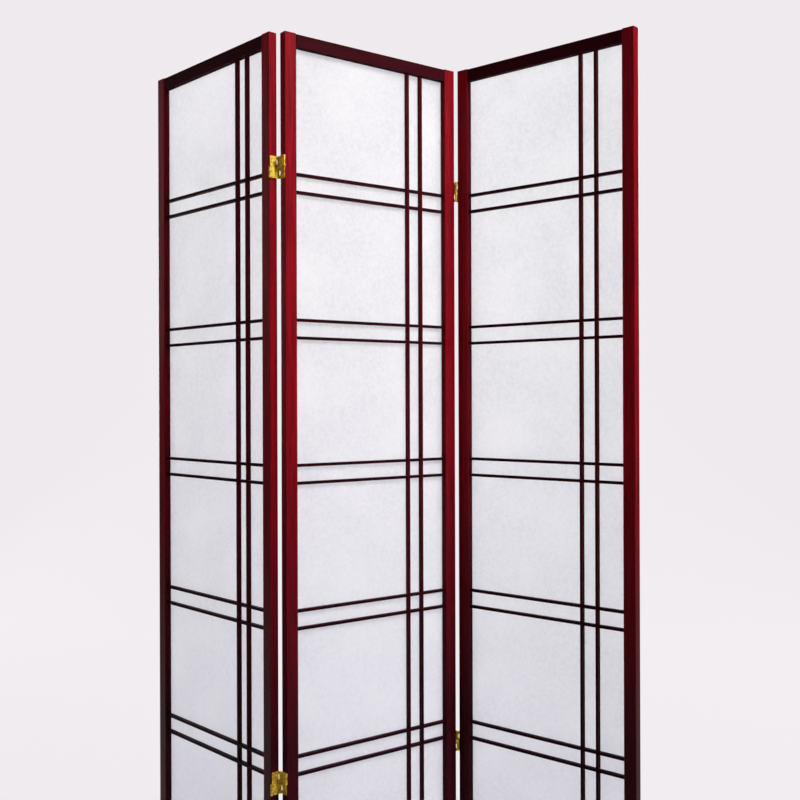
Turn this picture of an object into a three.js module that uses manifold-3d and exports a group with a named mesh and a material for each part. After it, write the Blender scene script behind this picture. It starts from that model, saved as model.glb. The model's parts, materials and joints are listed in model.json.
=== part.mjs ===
// Folding room divider: three lattice panels in lacquered wood frames with paper behind the lattice,
// joined by two-way brass hinges. Millimetres, +Z up. The front of the screen faces -Y.
// Each panel is built in its own frame: X runs 0..panelWidth from left to right, Y runs 0 (front)
// to frameDepth (back), and Z runs 0 (floor) to panelHeight.
import * as THREE from "three";
import { mergeVertices } from "three/addons/utils/BufferGeometryUtils.js";
import Module from "manifold-3d";

const wasm = await Module();
wasm.setup();

// Panel frame
const panelWidth = 444.5;
const panelHeight = 1784;
const frameDepth = 19;
const stileWidth = 28;
const railHeight = 26;
const railSetback = 1; // rail faces lie behind the stile faces, front and back
const railDrop = 1.2; // rail edges lie inside the stile ends
const outerEasing = 1.5;
const innerArris = 3; // round on the front inner corner of a stile
const endChamfer = 0.5;
const quirkDepth = 0.8; // fine groove down the inner side of a stile
const quirkWidth = 1;
const quirkSetback = 6.6;
const tenonLength = 14;
const tenonThickness = 7;
const tenonFromRebate = 1; // tenon to the rebate that the paper lies in
const tenonShoulder = 5; // how much narrower than the rail the tenon is, each side

// Lattice and paper
const cellRows = 6;
const barWidth = 6;
const barDepth = 9;
const barSetback = 5; // lattice front lies this far behind the frame front
const pairPitch = 36.3;
const uprightPitch = 36.3;
const uprightFromRight = 60.7; // clear width between the lattice uprights and the right stile
const barEasing = 0.4;
const stubLength = 4;
const stubDepth = 4.4; // thickness of the stubs at the bar ends
const tieWidth = 2.6; // hidden tie between the two stubs of a pair
const pocketWall = 1.5; // stile wood between the hidden tie and the opening
const rebateWidth = 6;
const paperThickness = 0.6;
const fitClearance = 0.3;

// Two-way hinges
const hingeFromEnd = 272; // hinge centre to the end of the panel
const hingeHeight = 45;
const hingeGap = 3.5; // hinge axis to the panel edge
const axisProud = 1.2; // hinge axis to the panel face, outside it
const knuckleRadius = 2.4;
const pinRadius = 1.3;
const pinClearance = 0.09;
const leafThickness = 0.8;
const leafSetback = 1.5; // leaf edge to the panel face
const leafSeat = 0.1; // leaf to the panel edge
const linkThickness = 1.2;
const linkClearance = 0.5; // link plate to the barrels of the leaf
const knuckleSplit = 0.3; // between one knuckle and the next
const linkShare = 0.44; // share of a half hinge that the link's knuckle takes
const roundSides = 16;
const easingSteps = 3;
const arrisSteps = 5;

const overcut = 1; // how far a cutter or a joined piece runs past the face it meets
const weldDistance = 1e-4;

// Fold of the screen as it stands: angles between neighbouring panels, 0 being flat
const middleTurn = 37.4;
const leftFold = 85.3;
const rightFold = 78.6;

// Worked out from the above
const openingLeft = stileWidth;
const openingRight = panelWidth - stileWidth;
const openingBottom = railDrop + railHeight;
const openingTop = panelHeight - railDrop - railHeight;
const pairSpan = pairPitch + barWidth;
const cellHeight = (openingTop - openingBottom - (cellRows - 1) * pairSpan) / cellRows;
const barFront = barSetback;
const barBack = barSetback + barDepth;
const lapPlane = barSetback + barDepth / 2;
const paperFront = barBack + fitClearance;
const paperBack = paperFront + paperThickness;
const stubFront = barBack - stubDepth;
const pocketOuter = stileWidth - pocketWall - tieWidth - 2 * fitClearance;
const uprightRight = openingRight - uprightFromRight - barWidth;
const uprightLefts = [uprightRight - uprightPitch, uprightRight];
const pairBottoms = Array.from(
  { length: cellRows - 1 },
  (_, row) => openingBottom + (row + 1) * cellHeight + row * pairSpan,
);
const tenonFront = barBack - tenonFromRebate - tenonThickness;
const halfHinge = hingeHeight / 2;
const boreRadius = (pinRadius + pinClearance) / Math.cos(Math.PI / roundSides);

const lacquer = new THREE.MeshStandardMaterial({ color: 0x5a1014, roughness: 0.32, metalness: 0 });
const lacquerDark = new THREE.MeshStandardMaterial({ color: 0x3a0d12, roughness: 0.38, metalness: 0 });
const ricePaper = new THREE.MeshStandardMaterial({ color: 0xeef0ec, roughness: 0.9, metalness: 0 });
const brass = new THREE.MeshStandardMaterial({ color: 0xd6aa28, roughness: 0.3, metalness: 1 });
const pinBrass = new THREE.MeshStandardMaterial({ color: 0xb98f22, roughness: 0.25, metalness: 1 });

const radians = (degrees) => (degrees * Math.PI) / 180;

// A closed three.js geometry as a solid that can be joined and cut.
function solidFrom(geometry) {
  const bare = geometry.clone();
  bare.deleteAttribute("normal");
  bare.deleteAttribute("uv");
  const merged = mergeVertices(bare, weldDistance);
  return new wasm.Manifold(
    new wasm.Mesh({
      numProp: 3,
      vertProperties: new Float32Array(merged.attributes.position.array),
      triVerts: new Uint32Array(merged.index.array),
    }),
  );
}

function geometryFrom(solid) {
  const { vertProperties, triVerts } = solid.getMesh();
  const geometry = new THREE.BufferGeometry();
  geometry.setAttribute("position", new THREE.BufferAttribute(new Float32Array(vertProperties), 3));
  geometry.setIndex(new THREE.BufferAttribute(new Uint32Array(triVerts), 1));
  return geometry;
}

function box([x0, x1], [y0, y1], [z0, z1]) {
  const geometry = new THREE.BoxGeometry(x1 - x0, y1 - y0, z1 - z0);
  geometry.translate((x0 + x1) / 2, (y0 + y1) / 2, (z0 + z1) / 2);
  return geometry;
}

const boxSolid = (...spans) => solidFrom(box(...spans));

function uprightCylinder(radius, [x, y], [z0, z1]) {
  const geometry = new THREE.CylinderGeometry(radius, radius, z1 - z0, roundSides);
  geometry.rotateX(Math.PI / 2);
  geometry.translate(x, y, (z0 + z1) / 2);
  return solidFrom(geometry);
}

const joined = (solids) => solids.reduce((whole, piece) => whole.add(piece));
const cutAway = (solid, cutters) => cutters.reduce((left, cutter) => left.subtract(cutter), solid);

function addMesh(group, name, geometry, material) {
  const mesh = new THREE.Mesh(geometry, material);
  mesh.name = name;
  group.add(mesh);
}

// Adds a quarter round to an outline, counter-clockwise from the angle `start`.
function quarterRound(shape, x, y, radius, start, steps) {
  for (let step = 0; step <= steps; step += 1) {
    const angle = start + (step / steps) * (Math.PI / 2);
    shape.lineTo(x + radius * Math.cos(angle), y + radius * Math.sin(angle));
  }
}

// Cross-section of a left stile: the outer corners are eased, the front inner corner is rounded,
// and the inner side has its quirk and the rebate for the paper.
function stileSection() {
  const shape = new THREE.Shape();
  shape.moveTo(outerEasing, 0);
  quarterRound(shape, stileWidth - innerArris, innerArris, innerArris, -Math.PI / 2, arrisSteps);
  shape.lineTo(stileWidth, quirkSetback);
  shape.lineTo(stileWidth - quirkDepth, quirkSetback + quirkWidth / 2);
  shape.lineTo(stileWidth, quirkSetback + quirkWidth);
  shape.lineTo(stileWidth, barBack);
  shape.lineTo(stileWidth - rebateWidth, barBack);
  shape.lineTo(stileWidth - rebateWidth, frameDepth);
  quarterRound(shape, outerEasing, frameDepth - outerEasing, outerEasing, Math.PI / 2, easingSteps);
  quarterRound(shape, outerEasing, outerEasing, outerEasing, Math.PI, easingSteps);
  return shape;
}

// A left stile with its rail mortises and the pockets that the lattice pairs end in.
function stileGeometry() {
  const length = panelHeight - 2 * endChamfer;
  const bar = new THREE.ExtrudeGeometry(stileSection(), {
    depth: length,
    steps: 1,
    bevelEnabled: true,
    bevelSize: endChamfer,
    bevelThickness: endChamfer,
    bevelOffset: -endChamfer,
    bevelSegments: 1,
  });
  bar.translate(0, 0, endChamfer);
  const mortiseDepth = [stileWidth - tenonLength - fitClearance, stileWidth + overcut];
  const mortiseWidth = [tenonFront - fitClearance, tenonFront + tenonThickness + fitClearance];
  const cutters = [railDrop, openingTop].map((railBottom) =>
    boxSolid(mortiseDepth, mortiseWidth, [
      railBottom + tenonShoulder - fitClearance,
      railBottom + railHeight - tenonShoulder + fitClearance,
    ]),
  );
  const stubSpan = [stubFront - fitClearance, barBack + overcut];
  for (const bottom of pairBottoms) {
    cutters.push(
      boxSolid([pocketOuter, stileWidth - pocketWall], stubSpan, [
        bottom - fitClearance,
        bottom + pairSpan + fitClearance,
      ]),
    );
    for (const barBottom of [bottom, bottom + pairPitch]) {
      cutters.push(
        boxSolid([stileWidth - pocketWall - overcut, stileWidth + overcut], stubSpan, [
          barBottom - fitClearance,
          barBottom + barWidth + fitClearance,
        ]),
      );
    }
  }
  return geometryFrom(cutAway(solidFrom(bar), cutters));
}

// A bottom rail with a tenon at each end, the rebate for the paper and a mortise for each upright.
function railGeometry() {
  const faces = [railSetback, frameDepth - railSetback];
  const body = boxSolid(
    [openingLeft + fitClearance, openingRight - fitClearance],
    faces,
    [railDrop, openingBottom],
  );
  const tenons = boxSolid(
    [openingLeft - tenonLength, openingRight + tenonLength],
    [tenonFront, tenonFront + tenonThickness],
    [railDrop + tenonShoulder, openingBottom - tenonShoulder],
  );
  const rebate = boxSolid(
    [openingLeft, openingRight],
    [barBack, frameDepth],
    [openingBottom - rebateWidth, openingBottom + overcut],
  );
  const mortises = uprightLefts.map((left) =>
    boxSolid(
      [left - fitClearance, left + barWidth + fitClearance],
      [stubFront - fitClearance, barBack + overcut],
      [openingBottom - stubLength - fitClearance, openingBottom + overcut],
    ),
  );
  return geometryFrom(cutAway(joined([body, tenons]), [rebate, ...mortises]));
}

// Section of a lattice bar with its two front edges eased: the bar's width by the panel's Y.
function barSection() {
  const section = new THREE.Shape();
  section.moveTo(0, barFront + barEasing);
  section.lineTo(barEasing, barFront);
  section.lineTo(barWidth - barEasing, barFront);
  section.lineTo(barWidth, barFront + barEasing);
  section.lineTo(barWidth, barBack);
  section.lineTo(0, barBack);
  return section;
}

const extrudedBar = (length) =>
  new THREE.ExtrudeGeometry(barSection(), { depth: length, bevelEnabled: false });

// An upright lattice bar, with a stub at each end and notched from behind for each crossbar.
function uprightGeometry() {
  const low = openingBottom + fitClearance;
  const high = openingTop - fitClearance;
  const body = extrudedBar(high - low);
  body.translate(0, 0, low);
  const stubs = boxSolid([0, barWidth], [stubFront, barBack], [low - stubLength, high + stubLength]);
  const notches = pairBottoms
    .flatMap((bottom) => [bottom, bottom + pairPitch])
    .map((bottom) =>
      boxSolid(
        [-overcut, barWidth + overcut],
        [lapPlane, barBack + overcut],
        [bottom - fitClearance, bottom + barWidth + fitClearance],
      ),
    );
  return geometryFrom(cutAway(joined([solidFrom(body), stubs]), notches));
}

// One crossbar, without its ends. The bar's length is turned from Z to X and its width from X to Z.
function crossbarBody(bottom) {
  const geometry = extrudedBar(openingRight - openingLeft - 2 * fitClearance);
  geometry.rotateY(Math.PI / 2);
  geometry.translate(openingLeft + fitClearance, 0, bottom + barWidth);
  return solidFrom(geometry);
}

// Two crossbars with a stub at each end, tied together inside the stiles and notched in front for
// the uprights.
function crossbarPairGeometry() {
  const tieEnd = pocketOuter + fitClearance;
  const stubs = [0, pairPitch].map((bottom) =>
    boxSolid([tieEnd, panelWidth - tieEnd], [stubFront, barBack], [bottom, bottom + barWidth]),
  );
  const ties = [tieEnd, panelWidth - tieEnd - tieWidth].map((left) =>
    boxSolid([left, left + tieWidth], [stubFront, barBack], [0, pairSpan]),
  );
  const notches = uprightLefts.map((left) =>
    boxSolid(
      [left - fitClearance, left + barWidth + fitClearance],
      [barFront - overcut, lapPlane + fitClearance],
      [-overcut, pairSpan + overcut],
    ),
  );
  const bars = [crossbarBody(0), crossbarBody(pairPitch)];
  return geometryFrom(cutAway(joined([...bars, ...stubs, ...ties]), notches));
}

function paperGeometry() {
  const margin = rebateWidth - fitClearance;
  return box(
    [openingLeft - margin, openingRight + margin],
    [paperFront, paperBack],
    [openingBottom - margin, openingTop + margin],
  );
}

// The same piece for the other side or end of the panel, with its faces turned back outwards.
function mirrored(geometry, axis, sum) {
  const solid = solidFrom(geometry);
  const normal = axis === "x" ? [1, 0, 0] : [0, 0, 1];
  const moved = solid.mirror(normal).translate(normal.map((n) => n * sum));
  return geometryFrom(moved);
}

function buildPanel(group, panel) {
  const stile = stileGeometry();
  const rail = railGeometry();
  addMesh(group, `${panel}_panel_left_stile`, stile, lacquer);
  addMesh(group, `${panel}_panel_right_stile`, mirrored(stile, "x", panelWidth), lacquer);
  addMesh(group, `${panel}_panel_bottom_rail`, rail, lacquer);
  addMesh(group, `${panel}_panel_top_rail`, mirrored(rail, "z", panelHeight), lacquer);
  addMesh(group, `${panel}_panel_paper`, paperGeometry(), ricePaper);
  uprightLefts.forEach((left, index) => {
    const bar = uprightGeometry();
    bar.translate(left, 0, 0);
    addMesh(group, `${panel}_panel_upright_${index + 1}`, bar, lacquerDark);
  });
  pairBottoms.forEach((bottom, index) => {
    const pair = crossbarPairGeometry();
    pair.translate(0, 0, bottom);
    addMesh(group, `${panel}_panel_crossbar_pair_${index + 1}`, pair, lacquerDark);
  });
}

// Hinge pieces are built about the middle of the gap between two panels in line: X = 0 is midway
// between their edges, Y is the panels' own, and Z = 0 is the middle of the hinge.
const frontAxis = -axisProud;
const backAxis = frameDepth + axisProud;
const linkKnuckle = halfHinge * linkShare;
const sideKnuckle = (halfHinge - linkKnuckle) / 2;

// Heights of the three knuckles in the upper (1) or lower (-1) half: leaf, link, leaf.
function knuckleSpans(half) {
  const base = half > 0 ? 0 : -halfHinge;
  const gap = knuckleSplit / 2;
  return {
    leaf: [
      [base + gap, base + sideKnuckle - gap],
      [base + halfHinge - sideKnuckle + gap, base + halfHinge - gap],
    ],
    link: [base + sideKnuckle + gap, base + halfHinge - sideKnuckle - gap],
    pin: [base + gap, base + halfHinge - gap],
  };
}

// A leaf lies on the edge of the panel on its side (-1 left, 1 right). It wraps a pin at the front in
// one half and a pin at the back in the other. The pin that the joint turns on is a piece of its own;
// the other is riveted fast and is one with the leaf.
function leafGeometry(side, frontHalf, turnAtFront) {
  const near = hingeGap - leafSeat;
  const across = (from, to) => (side < 0 ? [-from, -to] : [to, from]);
  const pieces = [
    boxSolid(
      across(near, near - leafThickness),
      [leafSetback, frameDepth - leafSetback],
      [-halfHinge, halfHinge],
    ),
  ];
  const bores = [];
  for (const [half, axis] of [[frontHalf, frontAxis], [-frontHalf, backAxis]]) {
    const spans = knuckleSpans(half);
    const overlap = leafSetback + overcut;
    const reach = axis < 0 ? [axis, overlap] : [frameDepth - overlap, axis];
    for (const span of spans.leaf) {
      pieces.push(uprightCylinder(knuckleRadius, [0, axis], span));
      pieces.push(boxSolid(across(near, knuckleRadius - leafThickness), reach, span));
    }
    const turning = (axis < 0) === turnAtFront;
    if (turning) {
      const bore = [spans.pin[0] - overcut, spans.pin[1] + overcut];
      bores.push(uprightCylinder(boreRadius, [0, axis], bore));
    } else {
      pieces.push(uprightCylinder(pinRadius, [0, axis], spans.pin));
    }
  }
  return geometryFrom(cutAway(joined(pieces), bores));
}

// A link is a plate in the middle of the gap with a knuckle at the front and at the back.
function linkGeometry(half) {
  const spans = knuckleSpans(half);
  const inset = knuckleRadius + linkClearance;
  const plate = boxSolid(
    [-linkThickness / 2, linkThickness / 2],
    [frontAxis + inset, backAxis - inset],
    spans.pin,
  );
  const web = boxSolid(
    [-linkThickness / 2, linkThickness / 2],
    [frontAxis, backAxis],
    spans.link,
  );
  const axes = [frontAxis, backAxis];
  const barrels = axes.map((axis) => uprightCylinder(knuckleRadius, [0, axis], spans.link));
  const bores = axes.map((axis) =>
    uprightCylinder(boreRadius, [0, axis], [spans.link[0] - overcut, spans.link[1] + overcut]),
  );
  return geometryFrom(cutAway(joined([plate, web, ...barrels]), bores));
}

function pinGeometry(half, axis) {
  return geometryFrom(uprightCylinder(pinRadius, [0, axis], knuckleSpans(half).pin));
}

// The left leaf has its front knuckles in the lower half and the right leaf in the upper half, so the
// lower link runs from the left panel's front to the right panel's back and the upper link crosses it.
// Each link stays with the panel whose pin it doesn't turn on.
function buildHinge(groups, name, height, turnAtFront) {
  const turnAxis = turnAtFront ? frontAxis : backAxis;
  const [near, far] = turnAtFront ? ["left", "right"] : ["right", "left"];
  const pieces = [
    ["left", "left_leaf", leafGeometry(-1, -1, turnAtFront), brass],
    ["right", "right_leaf", leafGeometry(1, 1, turnAtFront), brass],
    [near, "upper_link", linkGeometry(1), brass],
    [far, "lower_link", linkGeometry(-1), brass],
    [far, "upper_pin", pinGeometry(1, turnAxis), pinBrass],
    [near, "lower_pin", pinGeometry(-1, turnAxis), pinBrass],
  ];
  for (const [side, piece, geometry, material] of pieces) {
    const fromLeft = side === "left" ? panelWidth + hingeGap : -hingeGap;
    geometry.translate(fromLeft, 0, height);
    addMesh(groups[side], `${name}_${piece}`, geometry, material);
  }
}

// A panel group that is turned about an upright axis through `pivot`, given in the panel's own frame.
function placeAbout(group, angle, pivot, target) {
  const turned = pivot.clone().applyAxisAngle(new THREE.Vector3(0, 0, 1), angle);
  group.rotation.z = angle;
  group.position.copy(target).sub(turned);
}

const panels = { left: new THREE.Group(), middle: new THREE.Group(), right: new THREE.Group() };
for (const [name, group] of Object.entries(panels)) {
  buildPanel(group, name);
}
for (const [place, height] of [["lower", hingeFromEnd], ["upper", panelHeight - hingeFromEnd]]) {
  buildHinge({ left: panels.left, right: panels.middle }, `left_fold_${place}`, height, false);
  buildHinge({ left: panels.middle, right: panels.right }, `right_fold_${place}`, height, true);
}

// The left panel folds about the back axis and the right panel about the front axis, a zigzag.
const middleAngle = radians(middleTurn);
const axisBesideLeft = new THREE.Vector3(-hingeGap, backAxis, 0);
const axisBesideRight = new THREE.Vector3(panelWidth + hingeGap, frontAxis, 0);
const upAxis = new THREE.Vector3(0, 0, 1);
placeAbout(panels.middle, middleAngle, new THREE.Vector3(), new THREE.Vector3());
placeAbout(
  panels.left,
  middleAngle - radians(leftFold),
  new THREE.Vector3(panelWidth + hingeGap, backAxis, 0),
  axisBesideLeft.clone().applyAxisAngle(upAxis, middleAngle),
);
placeAbout(
  panels.right,
  middleAngle - radians(rightFold),
  new THREE.Vector3(-hingeGap, frontAxis, 0),
  axisBesideRight.clone().applyAxisAngle(upAxis, middleAngle),
);

// The screen's origin is on the floor, in the middle of its footprint.
const screen = new THREE.Group();
screen.name = "folding_room_divider";
for (const group of Object.values(panels)) {
  screen.add(group);
}
const footprint = new THREE.Box3().setFromObject(screen, true);
const centre = footprint.getCenter(new THREE.Vector3());
for (const group of Object.values(panels)) {
  group.position.x -= centre.x;
  group.position.y -= centre.y;
}

export default screen;
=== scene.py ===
import json
import math

import bpy
import numpy as np
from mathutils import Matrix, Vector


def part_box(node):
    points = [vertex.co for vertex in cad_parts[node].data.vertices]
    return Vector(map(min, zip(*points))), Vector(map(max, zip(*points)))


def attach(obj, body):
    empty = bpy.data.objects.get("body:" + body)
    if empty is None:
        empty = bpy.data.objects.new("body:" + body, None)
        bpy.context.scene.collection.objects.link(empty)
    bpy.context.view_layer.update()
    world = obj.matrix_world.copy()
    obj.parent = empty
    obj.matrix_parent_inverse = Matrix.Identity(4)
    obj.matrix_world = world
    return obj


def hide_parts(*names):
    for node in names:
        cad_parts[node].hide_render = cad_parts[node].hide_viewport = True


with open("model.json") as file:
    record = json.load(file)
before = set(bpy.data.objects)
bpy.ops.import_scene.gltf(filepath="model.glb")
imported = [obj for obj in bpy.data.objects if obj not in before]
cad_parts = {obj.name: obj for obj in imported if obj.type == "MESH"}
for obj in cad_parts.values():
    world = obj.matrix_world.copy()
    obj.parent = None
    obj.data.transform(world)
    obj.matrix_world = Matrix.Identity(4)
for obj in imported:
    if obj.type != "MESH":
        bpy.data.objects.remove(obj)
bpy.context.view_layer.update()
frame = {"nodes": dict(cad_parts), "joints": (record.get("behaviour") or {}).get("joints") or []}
print("frame loaded:", len(frame["nodes"]), "pieces")

scene = bpy.context.scene
joints = {joint["name"]: joint for joint in frame["joints"]}
nodes = frame["nodes"]
panelNames = ["left", "middle", "right"]
foldAngles = {"left": 37.4 - 85.3, "middle": 37.4, "right": 37.4 - 78.6}  # each panel's turn about Z


# Vertices of a frame piece, turned back so that its panel runs along X with its front toward -Y.
def pointsAlongPanel(name, turn):
    mesh = nodes[name].data
    flat = np.empty(len(mesh.vertices) * 3)
    mesh.vertices.foreach_get("co", flat)
    points = flat.reshape(-1, 3)
    c, s = math.cos(turn), math.sin(turn)
    x, y, z = points.T
    return np.stack([c * x + s * y, c * y - s * x, z], -1)


def newMaterial(name):
    material = bpy.data.materials.new(name)
    material.use_nodes = True
    tree = material.node_tree
    shader = tree.nodes["Principled BSDF"]
    return material, tree, shader


# A socket takes either a link from another socket or a plain value.
def feed(tree, socket, value):
    if isinstance(value, bpy.types.NodeSocket):
        tree.links.new(value, socket)
    else:
        socket.default_value = value


def addNode(tree, kind, settings=None, **inputs):
    node = tree.nodes.new(kind)
    for key, value in (settings or {}).items():
        setattr(node, key, value)
    for key, value in inputs.items():
        feed(tree, node.inputs[key], value)
    return node


def blendColours(tree, factor, colourA, colourB):
    node = tree.nodes.new("ShaderNodeMix")
    node.data_type = "RGBA"
    feed(tree, node.inputs[0], factor)
    feed(tree, node.inputs[6], colourA)
    feed(tree, node.inputs[7], colourB)
    return node.outputs[2]


def remap(tree, value, fromLow, fromHigh, toLow, toHigh):
    node = tree.nodes.new("ShaderNodeMapRange")
    tree.links.new(value, node.inputs["Value"])
    node.inputs["From Min"].default_value = fromLow
    node.inputs["From Max"].default_value = fromHigh
    node.inputs["To Min"].default_value = toLow
    node.inputs["To Max"].default_value = toHigh
    return node.outputs["Result"]


def combine(tree, a, b, operation="MULTIPLY"):
    node = tree.nodes.new("ShaderNodeMath")
    node.operation = operation
    feed(tree, node.inputs[0], a)
    feed(tree, node.inputs[1], b)
    return node.outputs[0]


# Lacquered wood
lacquer = {
    "deepRed": (0.150, 0.0022, 0.0060, 1),
    "stainRed": (0.340, 0.0042, 0.0125, 1),
    "blackBrown": (0.0130, 0.0018, 0.0048, 1),
    "grainStretch": 26.0,  # how much longer than wide the grain's streaks are
    "grainFineness": 210.0,  # streaks to a metre, across the grain
    "poreFineness": 900.0,
    "paintedShadeAtFeet": 0.90,  # painted shade: how much darker the wood is made at the feet, standing in for the light falling off low down
    "paintedShadeHeights": (1.02, 0.34),
    "paintedInnerShade": 0.62,  # painted shade: the inner sides are darkened from where the front arris turns in, standing in for the shade in the rebate
    "innerFade": (0.0008, 0.0001),
    "railFade": (0.0004, 0.0001),
    "innerRoughness": 0.85,  # and left unpolished
    "roughness": 0.40,
    "latticeRoughness": 0.58,
    "gloss": 0.11,
    "latticeGloss": 0.08,
    "railShade": 0.90,  # how much darker than the stiles the other pieces are stained
    "uprightShade": 0.74,
    "crossbarShade": 0.95,
    "glossTint": (1.0, 0.30, 0.32, 1),
    "coat": 0.04,
    "coatRoughness": 0.16,
}


# Streaks are noise squeezed along the piece's length: coordinates are turned into the panel's own
# directions, the one along the grain is divided by the stretch, and the noise is read there.
def lacquerWood(name, turn, alongRail, darker, polish, shadedInnerBand=None):
    material, tree, shader = newMaterial(name)
    coord = addNode(tree, "ShaderNodeTexCoord").outputs["Object"]
    toPanel = addNode(tree, "ShaderNodeMapping", {"vector_type": "POINT"}, Vector=coord)
    toPanel.inputs["Rotation"].default_value = (0, 0, -math.radians(turn))
    stretch = 1 / lacquer["grainStretch"]
    squeeze = addNode(tree, "ShaderNodeMapping", Vector=toPanel.outputs[0])
    squeeze.inputs["Scale"].default_value = (stretch, 1, 1) if alongRail else (1, 1, stretch)
    grainPlace = squeeze.outputs[0]
    fine = lacquer["grainFineness"]
    streak = addNode(tree, "ShaderNodeTexNoise", Vector=grainPlace, Scale=fine, Detail=6.0,
                     Roughness=0.62, Distortion=0.25).outputs["Fac"]
    broad = addNode(tree, "ShaderNodeTexNoise", Vector=grainPlace, Scale=fine / 6, Detail=3.0,
                    Roughness=0.5, Distortion=0.6).outputs["Fac"]
    pores = addNode(tree, "ShaderNodeTexNoise", Vector=grainPlace, Scale=lacquer["poreFineness"],
                    Detail=2.0, Roughness=0.7).outputs["Fac"]
    height = addNode(tree, "ShaderNodeSeparateXYZ", Vector=coord).outputs["Z"]
    base = blendColours(tree, remap(tree, streak, 0.35, 0.65, 0, 1), lacquer["deepRed"],
                        lacquer["stainRed"])
    base = blendColours(tree, remap(tree, broad, 0.42, 0.68, 0, 0.5), base, lacquer["deepRed"])
    base = blendColours(tree, remap(tree, pores, 0.58, 0.74, 0, 0.7), base, lacquer["blackBrown"])
    # Painted shade: the colour darkens towards the feet, standing in for the light falling off low down.
    footShadeMask = remap(tree, height, *lacquer["paintedShadeHeights"], 0, lacquer["paintedShadeAtFeet"])
    base = blendColours(tree, footShadeMask, base, lacquer["blackBrown"])
    if darker:
        base = blendColours(tree, darker, base, lacquer["blackBrown"])
    rough = remap(tree, streak, 0.3, 0.7, polish + 0.08, polish - 0.05)
    if shadedInnerBand:
        axis, start, end = shadedInnerBand
        place = addNode(tree, "ShaderNodeSeparateXYZ", Vector=toPanel.outputs[0]).outputs[axis]
        # Painted shade: the inner side darkens into the rebate, standing in for the shade there; it is
        # also made rougher.
        base = blendColours(tree, remap(tree, place, start, end, 0, lacquer["paintedInnerShade"]), base,
                            lacquer["blackBrown"])
        innerRough = remap(tree, place, start, end, 0, lacquer["innerRoughness"])
        rough = combine(tree, rough, innerRough, "MAXIMUM")
    tree.links.new(base, shader.inputs["Base Color"])
    tree.links.new(rough, shader.inputs["Roughness"])
    shader.inputs["IOR"].default_value = 1.5
    gloss = lacquer["latticeGloss"] if darker else lacquer["gloss"]
    shader.inputs["Specular IOR Level"].default_value = gloss
    shader.inputs["Specular Tint"].default_value = lacquer["glossTint"]
    shader.inputs["Coat Weight"].default_value = 0 if darker else lacquer["coat"]
    shader.inputs["Coat Roughness"].default_value = lacquer["coatRoughness"]
    relief = combine(tree, combine(tree, streak, 0.6), combine(tree, pores, -0.5), "ADD")
    bump = addNode(tree, "ShaderNodeBump", Height=relief, Strength=0.18, Distance=0.0006)
    tree.links.new(bump.outputs[0], shader.inputs["Normal"])
    return material


# Fibrous paper
paper = {
    "white": (0.850, 0.850, 0.860, 1),
    "thin": (0.780, 0.785, 0.805, 1),
    "thick": (0.890, 0.890, 0.895, 1),
    "fibre": (0.945, 0.945, 0.940, 1),
    # painted shade: the grey-blue that the sheet turns towards the bottom, standing in for less light
    # there
    "paintedLowShade": (0.780, 0.785, 0.850, 1),
    "lowShadeShare": 0.35,
    "clumps": 125.0,  # clumps of pulp to a metre
    "fibreFineness": 620.0,
    "fibreStretch": 14.0,  # how much longer than wide a fibre is
    "fibreSlants": (14, 67, 118, 161),
    "throughShare": 0.74,
}


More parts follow.
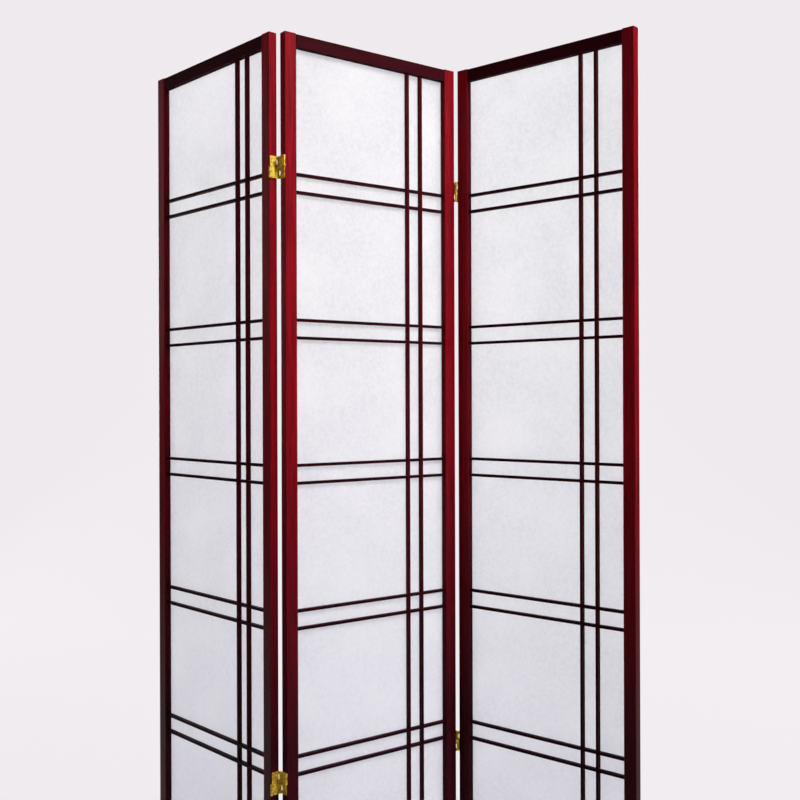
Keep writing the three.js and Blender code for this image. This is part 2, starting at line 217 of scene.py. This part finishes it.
# Pulp clumps are plain noise. A fibre is a narrow ridge of noise stretched along its own slant in the
# plane of the sheet; four slants cross each other.
def fibrePaper(name, turn):
    material, tree, shader = newMaterial(name)
    coord = addNode(tree, "ShaderNodeTexCoord").outputs["Object"]
    flat = addNode(tree, "ShaderNodeMapping", Vector=coord)
    flat.inputs["Rotation"].default_value = (0, 0, -math.radians(turn))
    fibres = None
    for slant in paper["fibreSlants"]:
        laid = addNode(tree, "ShaderNodeMapping", {"vector_type": "TEXTURE"}, Vector=flat.outputs[0])
        laid.inputs["Rotation"].default_value = (0, math.radians(slant), 0)
        laid.inputs["Scale"].default_value = (paper["fibreStretch"], 1, 1)
        noise = addNode(tree, "ShaderNodeTexNoise", Vector=laid.outputs[0], Scale=paper["fibreFineness"],
                        Detail=1.0, Roughness=0.5, Distortion=0.8).outputs["Fac"]
        fibre = remap(tree, noise, 0.64, 0.74, 0, 1)
        fibres = fibre if fibres is None else combine(tree, fibres, fibre, "MAXIMUM")
    clumps = addNode(tree, "ShaderNodeTexNoise", Vector=coord, Scale=paper["clumps"], Detail=3.0,
                     Roughness=0.6).outputs["Fac"]
    wash = addNode(tree, "ShaderNodeTexNoise", Vector=coord, Scale=9.0, Detail=3.0).outputs["Fac"]
    height = addNode(tree, "ShaderNodeSeparateXYZ", Vector=coord).outputs["Z"]
    base = blendColours(tree, remap(tree, clumps, 0.36, 0.60, 0.85, 0), paper["white"], paper["thin"])
    base = blendColours(tree, remap(tree, wash, 0.42, 0.68, 0, 0.5), base, paper["thick"])
    # Painted shade: the sheet turns greyer and bluer towards the bottom, where less light falls.
    base = blendColours(tree, remap(tree, height, 1.3, 0.2, 0, paper["lowShadeShare"]), base, paper["paintedLowShade"])
    base = blendColours(tree, combine(tree, fibres, 0.35), base, paper["fibre"])
    tree.links.new(base, shader.inputs["Base Color"])
    shader.inputs["Roughness"].default_value = 0.85
    shader.inputs["Specular IOR Level"].default_value = 0.25
    shader.inputs["Sheen Weight"].default_value = 0.10
    relief = combine(tree, combine(tree, fibres, 0.6), combine(tree, clumps, 0.5), "ADD")
    bump = addNode(tree, "ShaderNodeBump", Height=relief, Strength=0.20, Distance=0.0003)
    tree.links.new(bump.outputs[0], shader.inputs["Normal"])
    through = addNode(tree, "ShaderNodeBsdfTranslucent", Color=base)
    mix = addNode(tree, "ShaderNodeMixShader")
    mix.inputs[0].default_value = paper["throughShare"]
    tree.links.new(shader.outputs[0], mix.inputs[1])
    tree.links.new(through.outputs[0], mix.inputs[2])
    tree.links.new(mix.outputs[0], tree.nodes["Material Output"].inputs["Surface"])
    return material


# Bright brass
brass = {
    "gold": (0.90, 0.67, 0.07, 1),
    "tarnish": (0.40, 0.17, 0.012, 1),
    "screwPale": (0.60, 0.36, 0.07, 1),
    # painted shade for the screw slots and the countersink line round each head
    "recess": (0.060, 0.030, 0.006, 1),
    "metal": 0.62,  # the rest is the cloudy clear lacquer over the plate
    "roughness": 0.40,
}


# Rolled plate: cloudy tarnish, fine crossing scratches, and pits where the lacquer has gone.
def brassPlate(name, gold, tarnish):
    material, tree, shader = newMaterial(name)
    coord = addNode(tree, "ShaderNodeTexCoord").outputs["Object"]
    spots = addNode(tree, "ShaderNodeTexNoise", Vector=coord, Scale=190.0, Detail=5.0,
                    Roughness=0.6).outputs["Fac"]
    rolled = addNode(tree, "ShaderNodeMapping", Vector=coord)
    rolled.inputs["Scale"].default_value = (1, 1, 0.06)
    scratches = addNode(tree, "ShaderNodeTexNoise", Vector=rolled.outputs[0], Scale=2600.0, Detail=3.0,
                        Roughness=0.7).outputs["Fac"]
    pits = addNode(tree, "ShaderNodeTexVoronoi", {"feature": "F1"}, Vector=coord,
                   Scale=900.0).outputs["Distance"]
    base = blendColours(tree, remap(tree, spots, 0.44, 0.60, 0, 0.85), gold, tarnish)
    base = blendColours(tree, remap(tree, pits, 0.16, 0.05, 0, 0.5), base, tarnish)
    tree.links.new(base, shader.inputs["Base Color"])
    shader.inputs["Metallic"].default_value = brass["metal"]
    tree.links.new(remap(tree, spots, 0.3, 0.7, brass["roughness"] - 0.06, brass["roughness"] + 0.16),
                   shader.inputs["Roughness"])
    bump = addNode(tree, "ShaderNodeBump", Height=scratches, Strength=0.15, Distance=0.0002)
    tree.links.new(bump.outputs[0], shader.inputs["Normal"])
    return material


def dress(names, material):
    for name in names:
        mesh = nodes[name].data
        mesh.materials.clear()
        mesh.materials.append(material)


brassFinish = brassPlate("hinge_brass", brass["gold"], brass["tarnish"])
screwFinish = brassPlate("screw_brass", brass["screwPale"], brass["gold"])
# The dark finish for screw slots and countersink rims is painted shade.
screwShade = brassPlate("screw_painted_shade", brass["recess"], brass["tarnish"])
for panel in panelNames:
    turn = foldAngles[panel]
    turned = math.radians(turn)
    for end, inward in (("bottom", 1), ("top", -1)):
        rail = f"{panel}_panel_{end}_rail"
        low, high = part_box(rail)
        face = high.z if inward > 0 else low.z
        # The rail's inner face takes the painted inner shade.
        shadedInnerBand = ["Z"] + [face - inward * fade for fade in lacquer["railFade"]]
        dress([rail], lacquerWood(f"{panel}_{end}_rail_lacquer", turn, True, lacquer["railShade"],
                                  lacquer["latticeRoughness"], shadedInnerBand))
    for side, inward in (("left", 1), ("right", -1)):
        stile = f"{panel}_panel_{side}_stile"
        points = pointsAlongPanel(stile, turned)
        face = points[:, 0].max() if inward > 0 else points[:, 0].min()
        # The stile's inner side takes the painted inner shade.
        shadedInnerBand = ["X"] + [face - inward * fade for fade in lacquer["innerFade"]]
        dress([stile], lacquerWood(f"{panel}_{side}_stile_lacquer", turn, False, None,
                                   lacquer["roughness"], shadedInnerBand))
    dress([name for name in nodes if name.startswith(f"{panel}_panel_upright")],
          lacquerWood(f"{panel}_upright_lacquer", turn, False, lacquer["uprightShade"],
                      lacquer["latticeRoughness"]))
    dress([name for name in nodes if name.startswith(f"{panel}_panel_crossbar")],
          lacquerWood(f"{panel}_crossbar_lacquer", turn, True, lacquer["crossbarShade"],
                      lacquer["latticeRoughness"]))
dress([name for name in nodes if "_fold_" in name], brassFinish)
print("wood and brass finished")


sheetSize = {
    "columns": 40,
    "rows": 160,
    "slack": 0.00025,  # half the depth of the cockle
    "frameSheet": 0.0006,  # thickness of the frame's plain sheet, taken off its box
    "thickness": 0.0003,
}


# One sheet: a grid across the panel and up it, with the slight cockle that stretched paper keeps: two
# low waves multiplied together, fading to nothing at the glued edges.
def paperSheet(panel):
    turn = math.radians(foldAngles[panel])
    low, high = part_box(f"{panel}_panel_paper")
    centre = np.array([(low.x + high.x) / 2, (low.y + high.y) / 2])
    along = np.array([math.cos(turn), math.sin(turn)])
    out = np.array([math.sin(turn), -math.cos(turn)])
    width = (high.x - low.x - sheetSize["frameSheet"] * abs(math.sin(turn))) / math.cos(turn)
    columns, rows = sheetSize["columns"], sheetSize["rows"]
    u, v = np.meshgrid(np.linspace(-0.5, 0.5, columns + 1), np.linspace(0, 1, rows + 1))
    fade = (1 - (2 * u) ** 8) * (1 - (2 * v - 1) ** 16)
    wave = np.sin(9 * u + 2.1 * np.sin(5 * v)) * np.sin(23 * v + 1.7)
    lift = sheetSize["slack"] * fade * wave
    x = centre[0] + u * width * along[0] + lift * out[0]
    y = centre[1] + u * width * along[1] + lift * out[1]
    z = low.z + v * (high.z - low.z)
    points = np.stack([x, y, z], -1).reshape(-1, 3)
    start = (np.arange(rows)[:, None] * (columns + 1) + np.arange(columns)[None, :]).reshape(-1)
    faces = np.stack([start, start + 1, start + columns + 2, start + columns + 1], -1)
    mesh = bpy.data.meshes.new(f"{panel}_paper_sheet")
    mesh.from_pydata(points.tolist(), [], faces.tolist())
    mesh.polygons.foreach_set("use_smooth", np.ones(len(mesh.polygons), bool))
    sheet = bpy.data.objects.new(f"{panel}_paper_sheet", mesh)
    scene.collection.objects.link(sheet)
    solid = sheet.modifiers.new("thickness", "SOLIDIFY")
    solid.thickness = sheetSize["thickness"]
    solid.offset = 0
    mesh.materials.append(fibrePaper(f"{panel}_rice_paper", foldAngles[panel]))
    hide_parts(f"{panel}_panel_paper")
    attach(sheet, f"{panel}_panel")


for panel in panelNames:
    paperSheet(panel)
print("paper sheets stretched")


screw = {
    "headRadius": 0.0031,
    "crown": 0.00045,  # how far the oval head stands up
    "slotHalf": 0.00032,
    "slotReach": 0.0015,
    "slotDepth": 0.0007,
    "fromMiddle": 0.0107,  # one screw this far above and one below the middle of the leaf
    "leafPlate": 0.0008,
    "seat": 0.00008,  # the rim stands this far off the leaf
    "shank": -0.0005,  # the head ends this far inside the leaf
    "deepest": -0.0004,
    "rings": 22,
    "rimRings": 3,  # the last rings at the rim take the painted shade of the countersink line
    "steps": 48,
}


# Head: radius runs from the middle to the rim and then down to the leaf, angle runs round. Height is a
# low dome, less a cross-shaped recess whose depth fades over its edge.
def screwHead(name, leaf, panel, outward, level, spin):
    turn = math.radians(foldAngles[panel])
    points = pointsAlongPanel(leaf, turn)
    low, high = points.min(0), points.max(0)
    face = low[0] + screw["leafPlate"] if outward > 0 else high[0] - screw["leafPlate"]
    middle = (low + high) / 2
    ring = np.linspace(0, 1, screw["rings"] + 1)
    angle = np.linspace(0, 2 * math.pi, screw["steps"], endpoint=False)
    r, t = np.meshgrid(ring * screw["headRadius"], angle, indexing="ij")
    across, up = r * np.cos(t), r * np.sin(t)
    dome = screw["seat"] + screw["crown"] * (1 - (r / screw["headRadius"]) ** 2)
    cutX = np.cos(spin) * across + np.sin(spin) * up
    cutY = np.cos(spin) * up - np.sin(spin) * across
    arm = np.minimum(np.maximum(np.abs(cutX) / screw["slotReach"], np.abs(cutY) / screw["slotHalf"]),
                     np.maximum(np.abs(cutY) / screw["slotReach"], np.abs(cutX) / screw["slotHalf"]))
    recess = np.clip((1.25 - arm) / 0.5, 0, 1) * screw["slotDepth"]
    height = np.maximum(dome - recess, screw["deepest"])
    rimBelow = np.stack([across[-1], up[-1], np.full(screw["steps"], screw["shank"])], -1)
    top = np.stack([across, up, height], -1)[1:].reshape(-1, 3)
    centre = np.array([[0, 0, height[0, 0]], [0, 0, screw["shank"]]])
    local = np.concatenate([centre, top, rimBelow])
    panelX = face + outward * local[:, 2]
    panelY = middle[1] + local[:, 0]
    panelZ = middle[2] + level * screw["fromMiddle"] + local[:, 1]
    c, s = math.cos(turn), math.sin(turn)
    world = np.stack([c * panelX - s * panelY, s * panelX + c * panelY, panelZ], -1)
    steps = screw["steps"]
    k = np.arange(steps)
    after = (k + 1) % steps
    cap = np.stack([np.zeros(steps, int), 2 + k, 2 + after], -1)
    loops = np.arange(screw["rings"])[:, None]
    inner, outer = 2 + loops * steps + k, 2 + (loops + 1) * steps + k
    innerNext, outerNext = 2 + loops * steps + after, 2 + (loops + 1) * steps + after
    band = np.stack([inner, outer, outerNext, innerNext], -1).reshape(-1, 4)
    last = 2 + screw["rings"] * steps
    base = np.stack([np.ones(steps, int), last + after, last + k], -1)
    faces = cap.tolist() + band.tolist() + base.tolist()
    if outward < 0:
        faces = [face[::-1] for face in faces]
    mesh = bpy.data.meshes.new(name)
    mesh.from_pydata(world.tolist(), [], faces)
    mesh.polygons.foreach_set("use_smooth", np.ones(len(mesh.polygons), bool))
    mesh.materials.append(screwFinish)
    mesh.materials.append(screwShade)
    faceRing = np.concatenate([np.zeros(steps, int), np.repeat(np.arange(screw["rings"]), steps),
                               np.full(steps, screw["rings"])])
    # Painted shade: the deep slot faces and the rim rings take the dark finish.
    sunk = np.concatenate([recess[1], recess[1:].reshape(-1), recess[-1]]) > screw["slotDepth"] * 0.4
    rim = faceRing >= screw["rings"] - screw["rimRings"]
    mesh.polygons.foreach_set("material_index", (sunk | rim).astype(np.int32))
    head = bpy.data.objects.new(name, mesh)
    scene.collection.objects.link(head)
    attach(head, f"{panel}_panel")


turns = iter(np.random.default_rng(5).uniform(0, math.pi / 2, 16))
for fold, leftPanel, rightPanel in (("left_fold", "left", "middle"), ("right_fold", "middle", "right")):
    for place in ("lower", "upper"):
        for side, panel, outward in (("left", leftPanel, 1), ("right", rightPanel, -1)):
            for level, word in ((1, "top"), (-1, "bottom")):
                screwHead(f"{fold}_{place}_{side}_{word}_screw", f"{fold}_{place}_{side}_leaf", panel,
                          outward, level, next(turns))
print("screws in")


viewpoint = {"aside": 0.2437, "back": 2.1466, "eyeHeight": 1.0424, "lens": 47.87, "roll": 0.0032}
camera = bpy.data.objects.new("camera", bpy.data.cameras.new("camera"))
scene.collection.objects.link(camera)
hingeLine = joints["left_fold"]["pos_m"]
camera.location = (hingeLine[0] + viewpoint["aside"], hingeLine[1] - viewpoint["back"],
                   viewpoint["eyeHeight"])
camera.rotation_euler = (math.pi / 2, viewpoint["roll"], 0)
camera.data.lens = viewpoint["lens"]
camera.data.sensor_width = 36
camera.data.clip_end = 60
scene.camera = camera

# Floor and backdrop in one sweep
studio = {
    "front": -7.0,
    "curveStart": 2.6,
    "curveRadius": 1.2,
    "height": 7.0,
    "halfWidth": 9.0,
    "tone": (0.871, 0.831, 0.855, 1),
    "glow": 0.98,
    "paint": (0.42, 0.41, 0.415, 1),
    "paintUnderGlow": (0.02, 0.019, 0.0195, 1),
    "glowFrom": -0.3,  # the floor brightens from before the screen to behind it
    "glowFull": 0.5,
    "glowSides": (1.15, 1.9),  # and fades out to the two sides, further out the further back
    "glowWidening": 0.4,
}


# The sweep is one profile, floor then quarter round then wall, carried straight across.
def studioSweep():
    bend = np.linspace(0, math.pi / 2, 17)
    floor = np.array([[studio["front"], 0.0]])
    radius = studio["curveRadius"]
    curve = np.stack([studio["curveStart"] + radius * np.sin(bend), radius * (1 - np.cos(bend))], -1)
    wall = np.array([[studio["curveStart"] + radius, studio["height"]]])
    profile = np.concatenate([floor, curve, wall])
    sides = np.array([-studio["halfWidth"], studio["halfWidth"]])
    x, k = np.meshgrid(sides, np.arange(len(profile)))
    points = np.stack([x, profile[k, 0], profile[k, 1]], -1).reshape(-1, 3)
    start = np.arange(len(profile) - 1) * 2
    faces = np.stack([start, start + 1, start + 3, start + 2], -1)
    mesh = bpy.data.meshes.new("studio_sweep")
    mesh.from_pydata(points.tolist(), [], faces.tolist())
    mesh.polygons.foreach_set("use_smooth", np.ones(len(mesh.polygons), bool))
    sweep = bpy.data.objects.new("studio_sweep", mesh)
    scene.collection.objects.link(sweep)
    material, tree, shader = newMaterial("studio_paint")
    shader.inputs["Roughness"].default_value = 0.9
    shader.inputs["Specular IOR Level"].default_value = 0.0
    shader.inputs["Emission Color"].default_value = studio["tone"]
    place = addNode(tree, "ShaderNodeTexCoord").outputs["Object"]
    split = addNode(tree, "ShaderNodeSeparateXYZ", Vector=place).outputs
    depth = remap(tree, split["Y"], studio["glowFrom"], studio["glowFull"], 0, 1)
    aside = combine(tree, split["X"], 0.0, "ABSOLUTE")
    widening = combine(tree, split["Y"], studio["glowWidening"])
    outside = combine(tree, aside, widening, "SUBTRACT")
    sideGlow = remap(tree, outside, studio["glowSides"][0], studio["glowSides"][1], 1, 0)
    glowing = combine(tree, depth, sideGlow)
    painted = blendColours(tree, glowing, studio["paint"], studio["paintUnderGlow"])
    tree.links.new(painted, shader.inputs["Base Color"])
    tree.links.new(combine(tree, glowing, studio["glow"]), shader.inputs["Emission Strength"])
    mesh.materials.append(material)


studioSweep()


def softLamp(name, place, aim, size, power, tint):
    lamp = bpy.data.lights.new(name, "AREA")
    lamp.shape = "RECTANGLE"
    lamp.size, lamp.size_y = size
    lamp.energy = power
    lamp.color = tint
    holder = bpy.data.objects.new(name, lamp)
    scene.collection.objects.link(holder)
    holder.location = place
    direction = np.array(aim) - np.array(place)
    flat = math.hypot(direction[0], direction[1])
    heading = math.atan2(direction[1], direction[0])
    holder.rotation_euler = (math.atan2(flat, -direction[2]), 0, heading - math.pi / 2)


softLamp("key_right_front", (2.27, -1.77, 3.5), (0, 0, 1.5), (0.45, 1.8), 138, (1.0, 0.97, 0.96))
softLamp("fill_front_left", (-0.9, -1.2, 2.9), (0, 0, 1.8), (0.6, 0.6), 2.5, (1.0, 0.94, 0.96))
softLamp("side_left", (-3.4, 1.0, 2.0), (-0.3, 0, 1.5), (0.7, 1.4), 4.5, (1.0, 0.97, 0.97))
softLamp("back_right", (2.3, 2.45, 2.2), (0, 0, 0.9), (0.6, 1.6), 135, (1.0, 1.0, 1.0))
softLamp("back_left", (-2.35, 3.0, 1.6), (0, 0, 0.8), (0.8, 1.6), 90, (0.98, 0.98, 1.0))
world = bpy.data.worlds.new("studio_air")
scene.world = world
world.use_nodes = True
world.node_tree.nodes["Background"].inputs["Color"].default_value = (0.95, 0.94, 1.0, 1)
world.node_tree.nodes["Background"].inputs["Strength"].default_value = 0.12
scene.view_settings.view_transform = "Standard"
scene.view_settings.look = "None"
print("camera, studio and lamps placed")
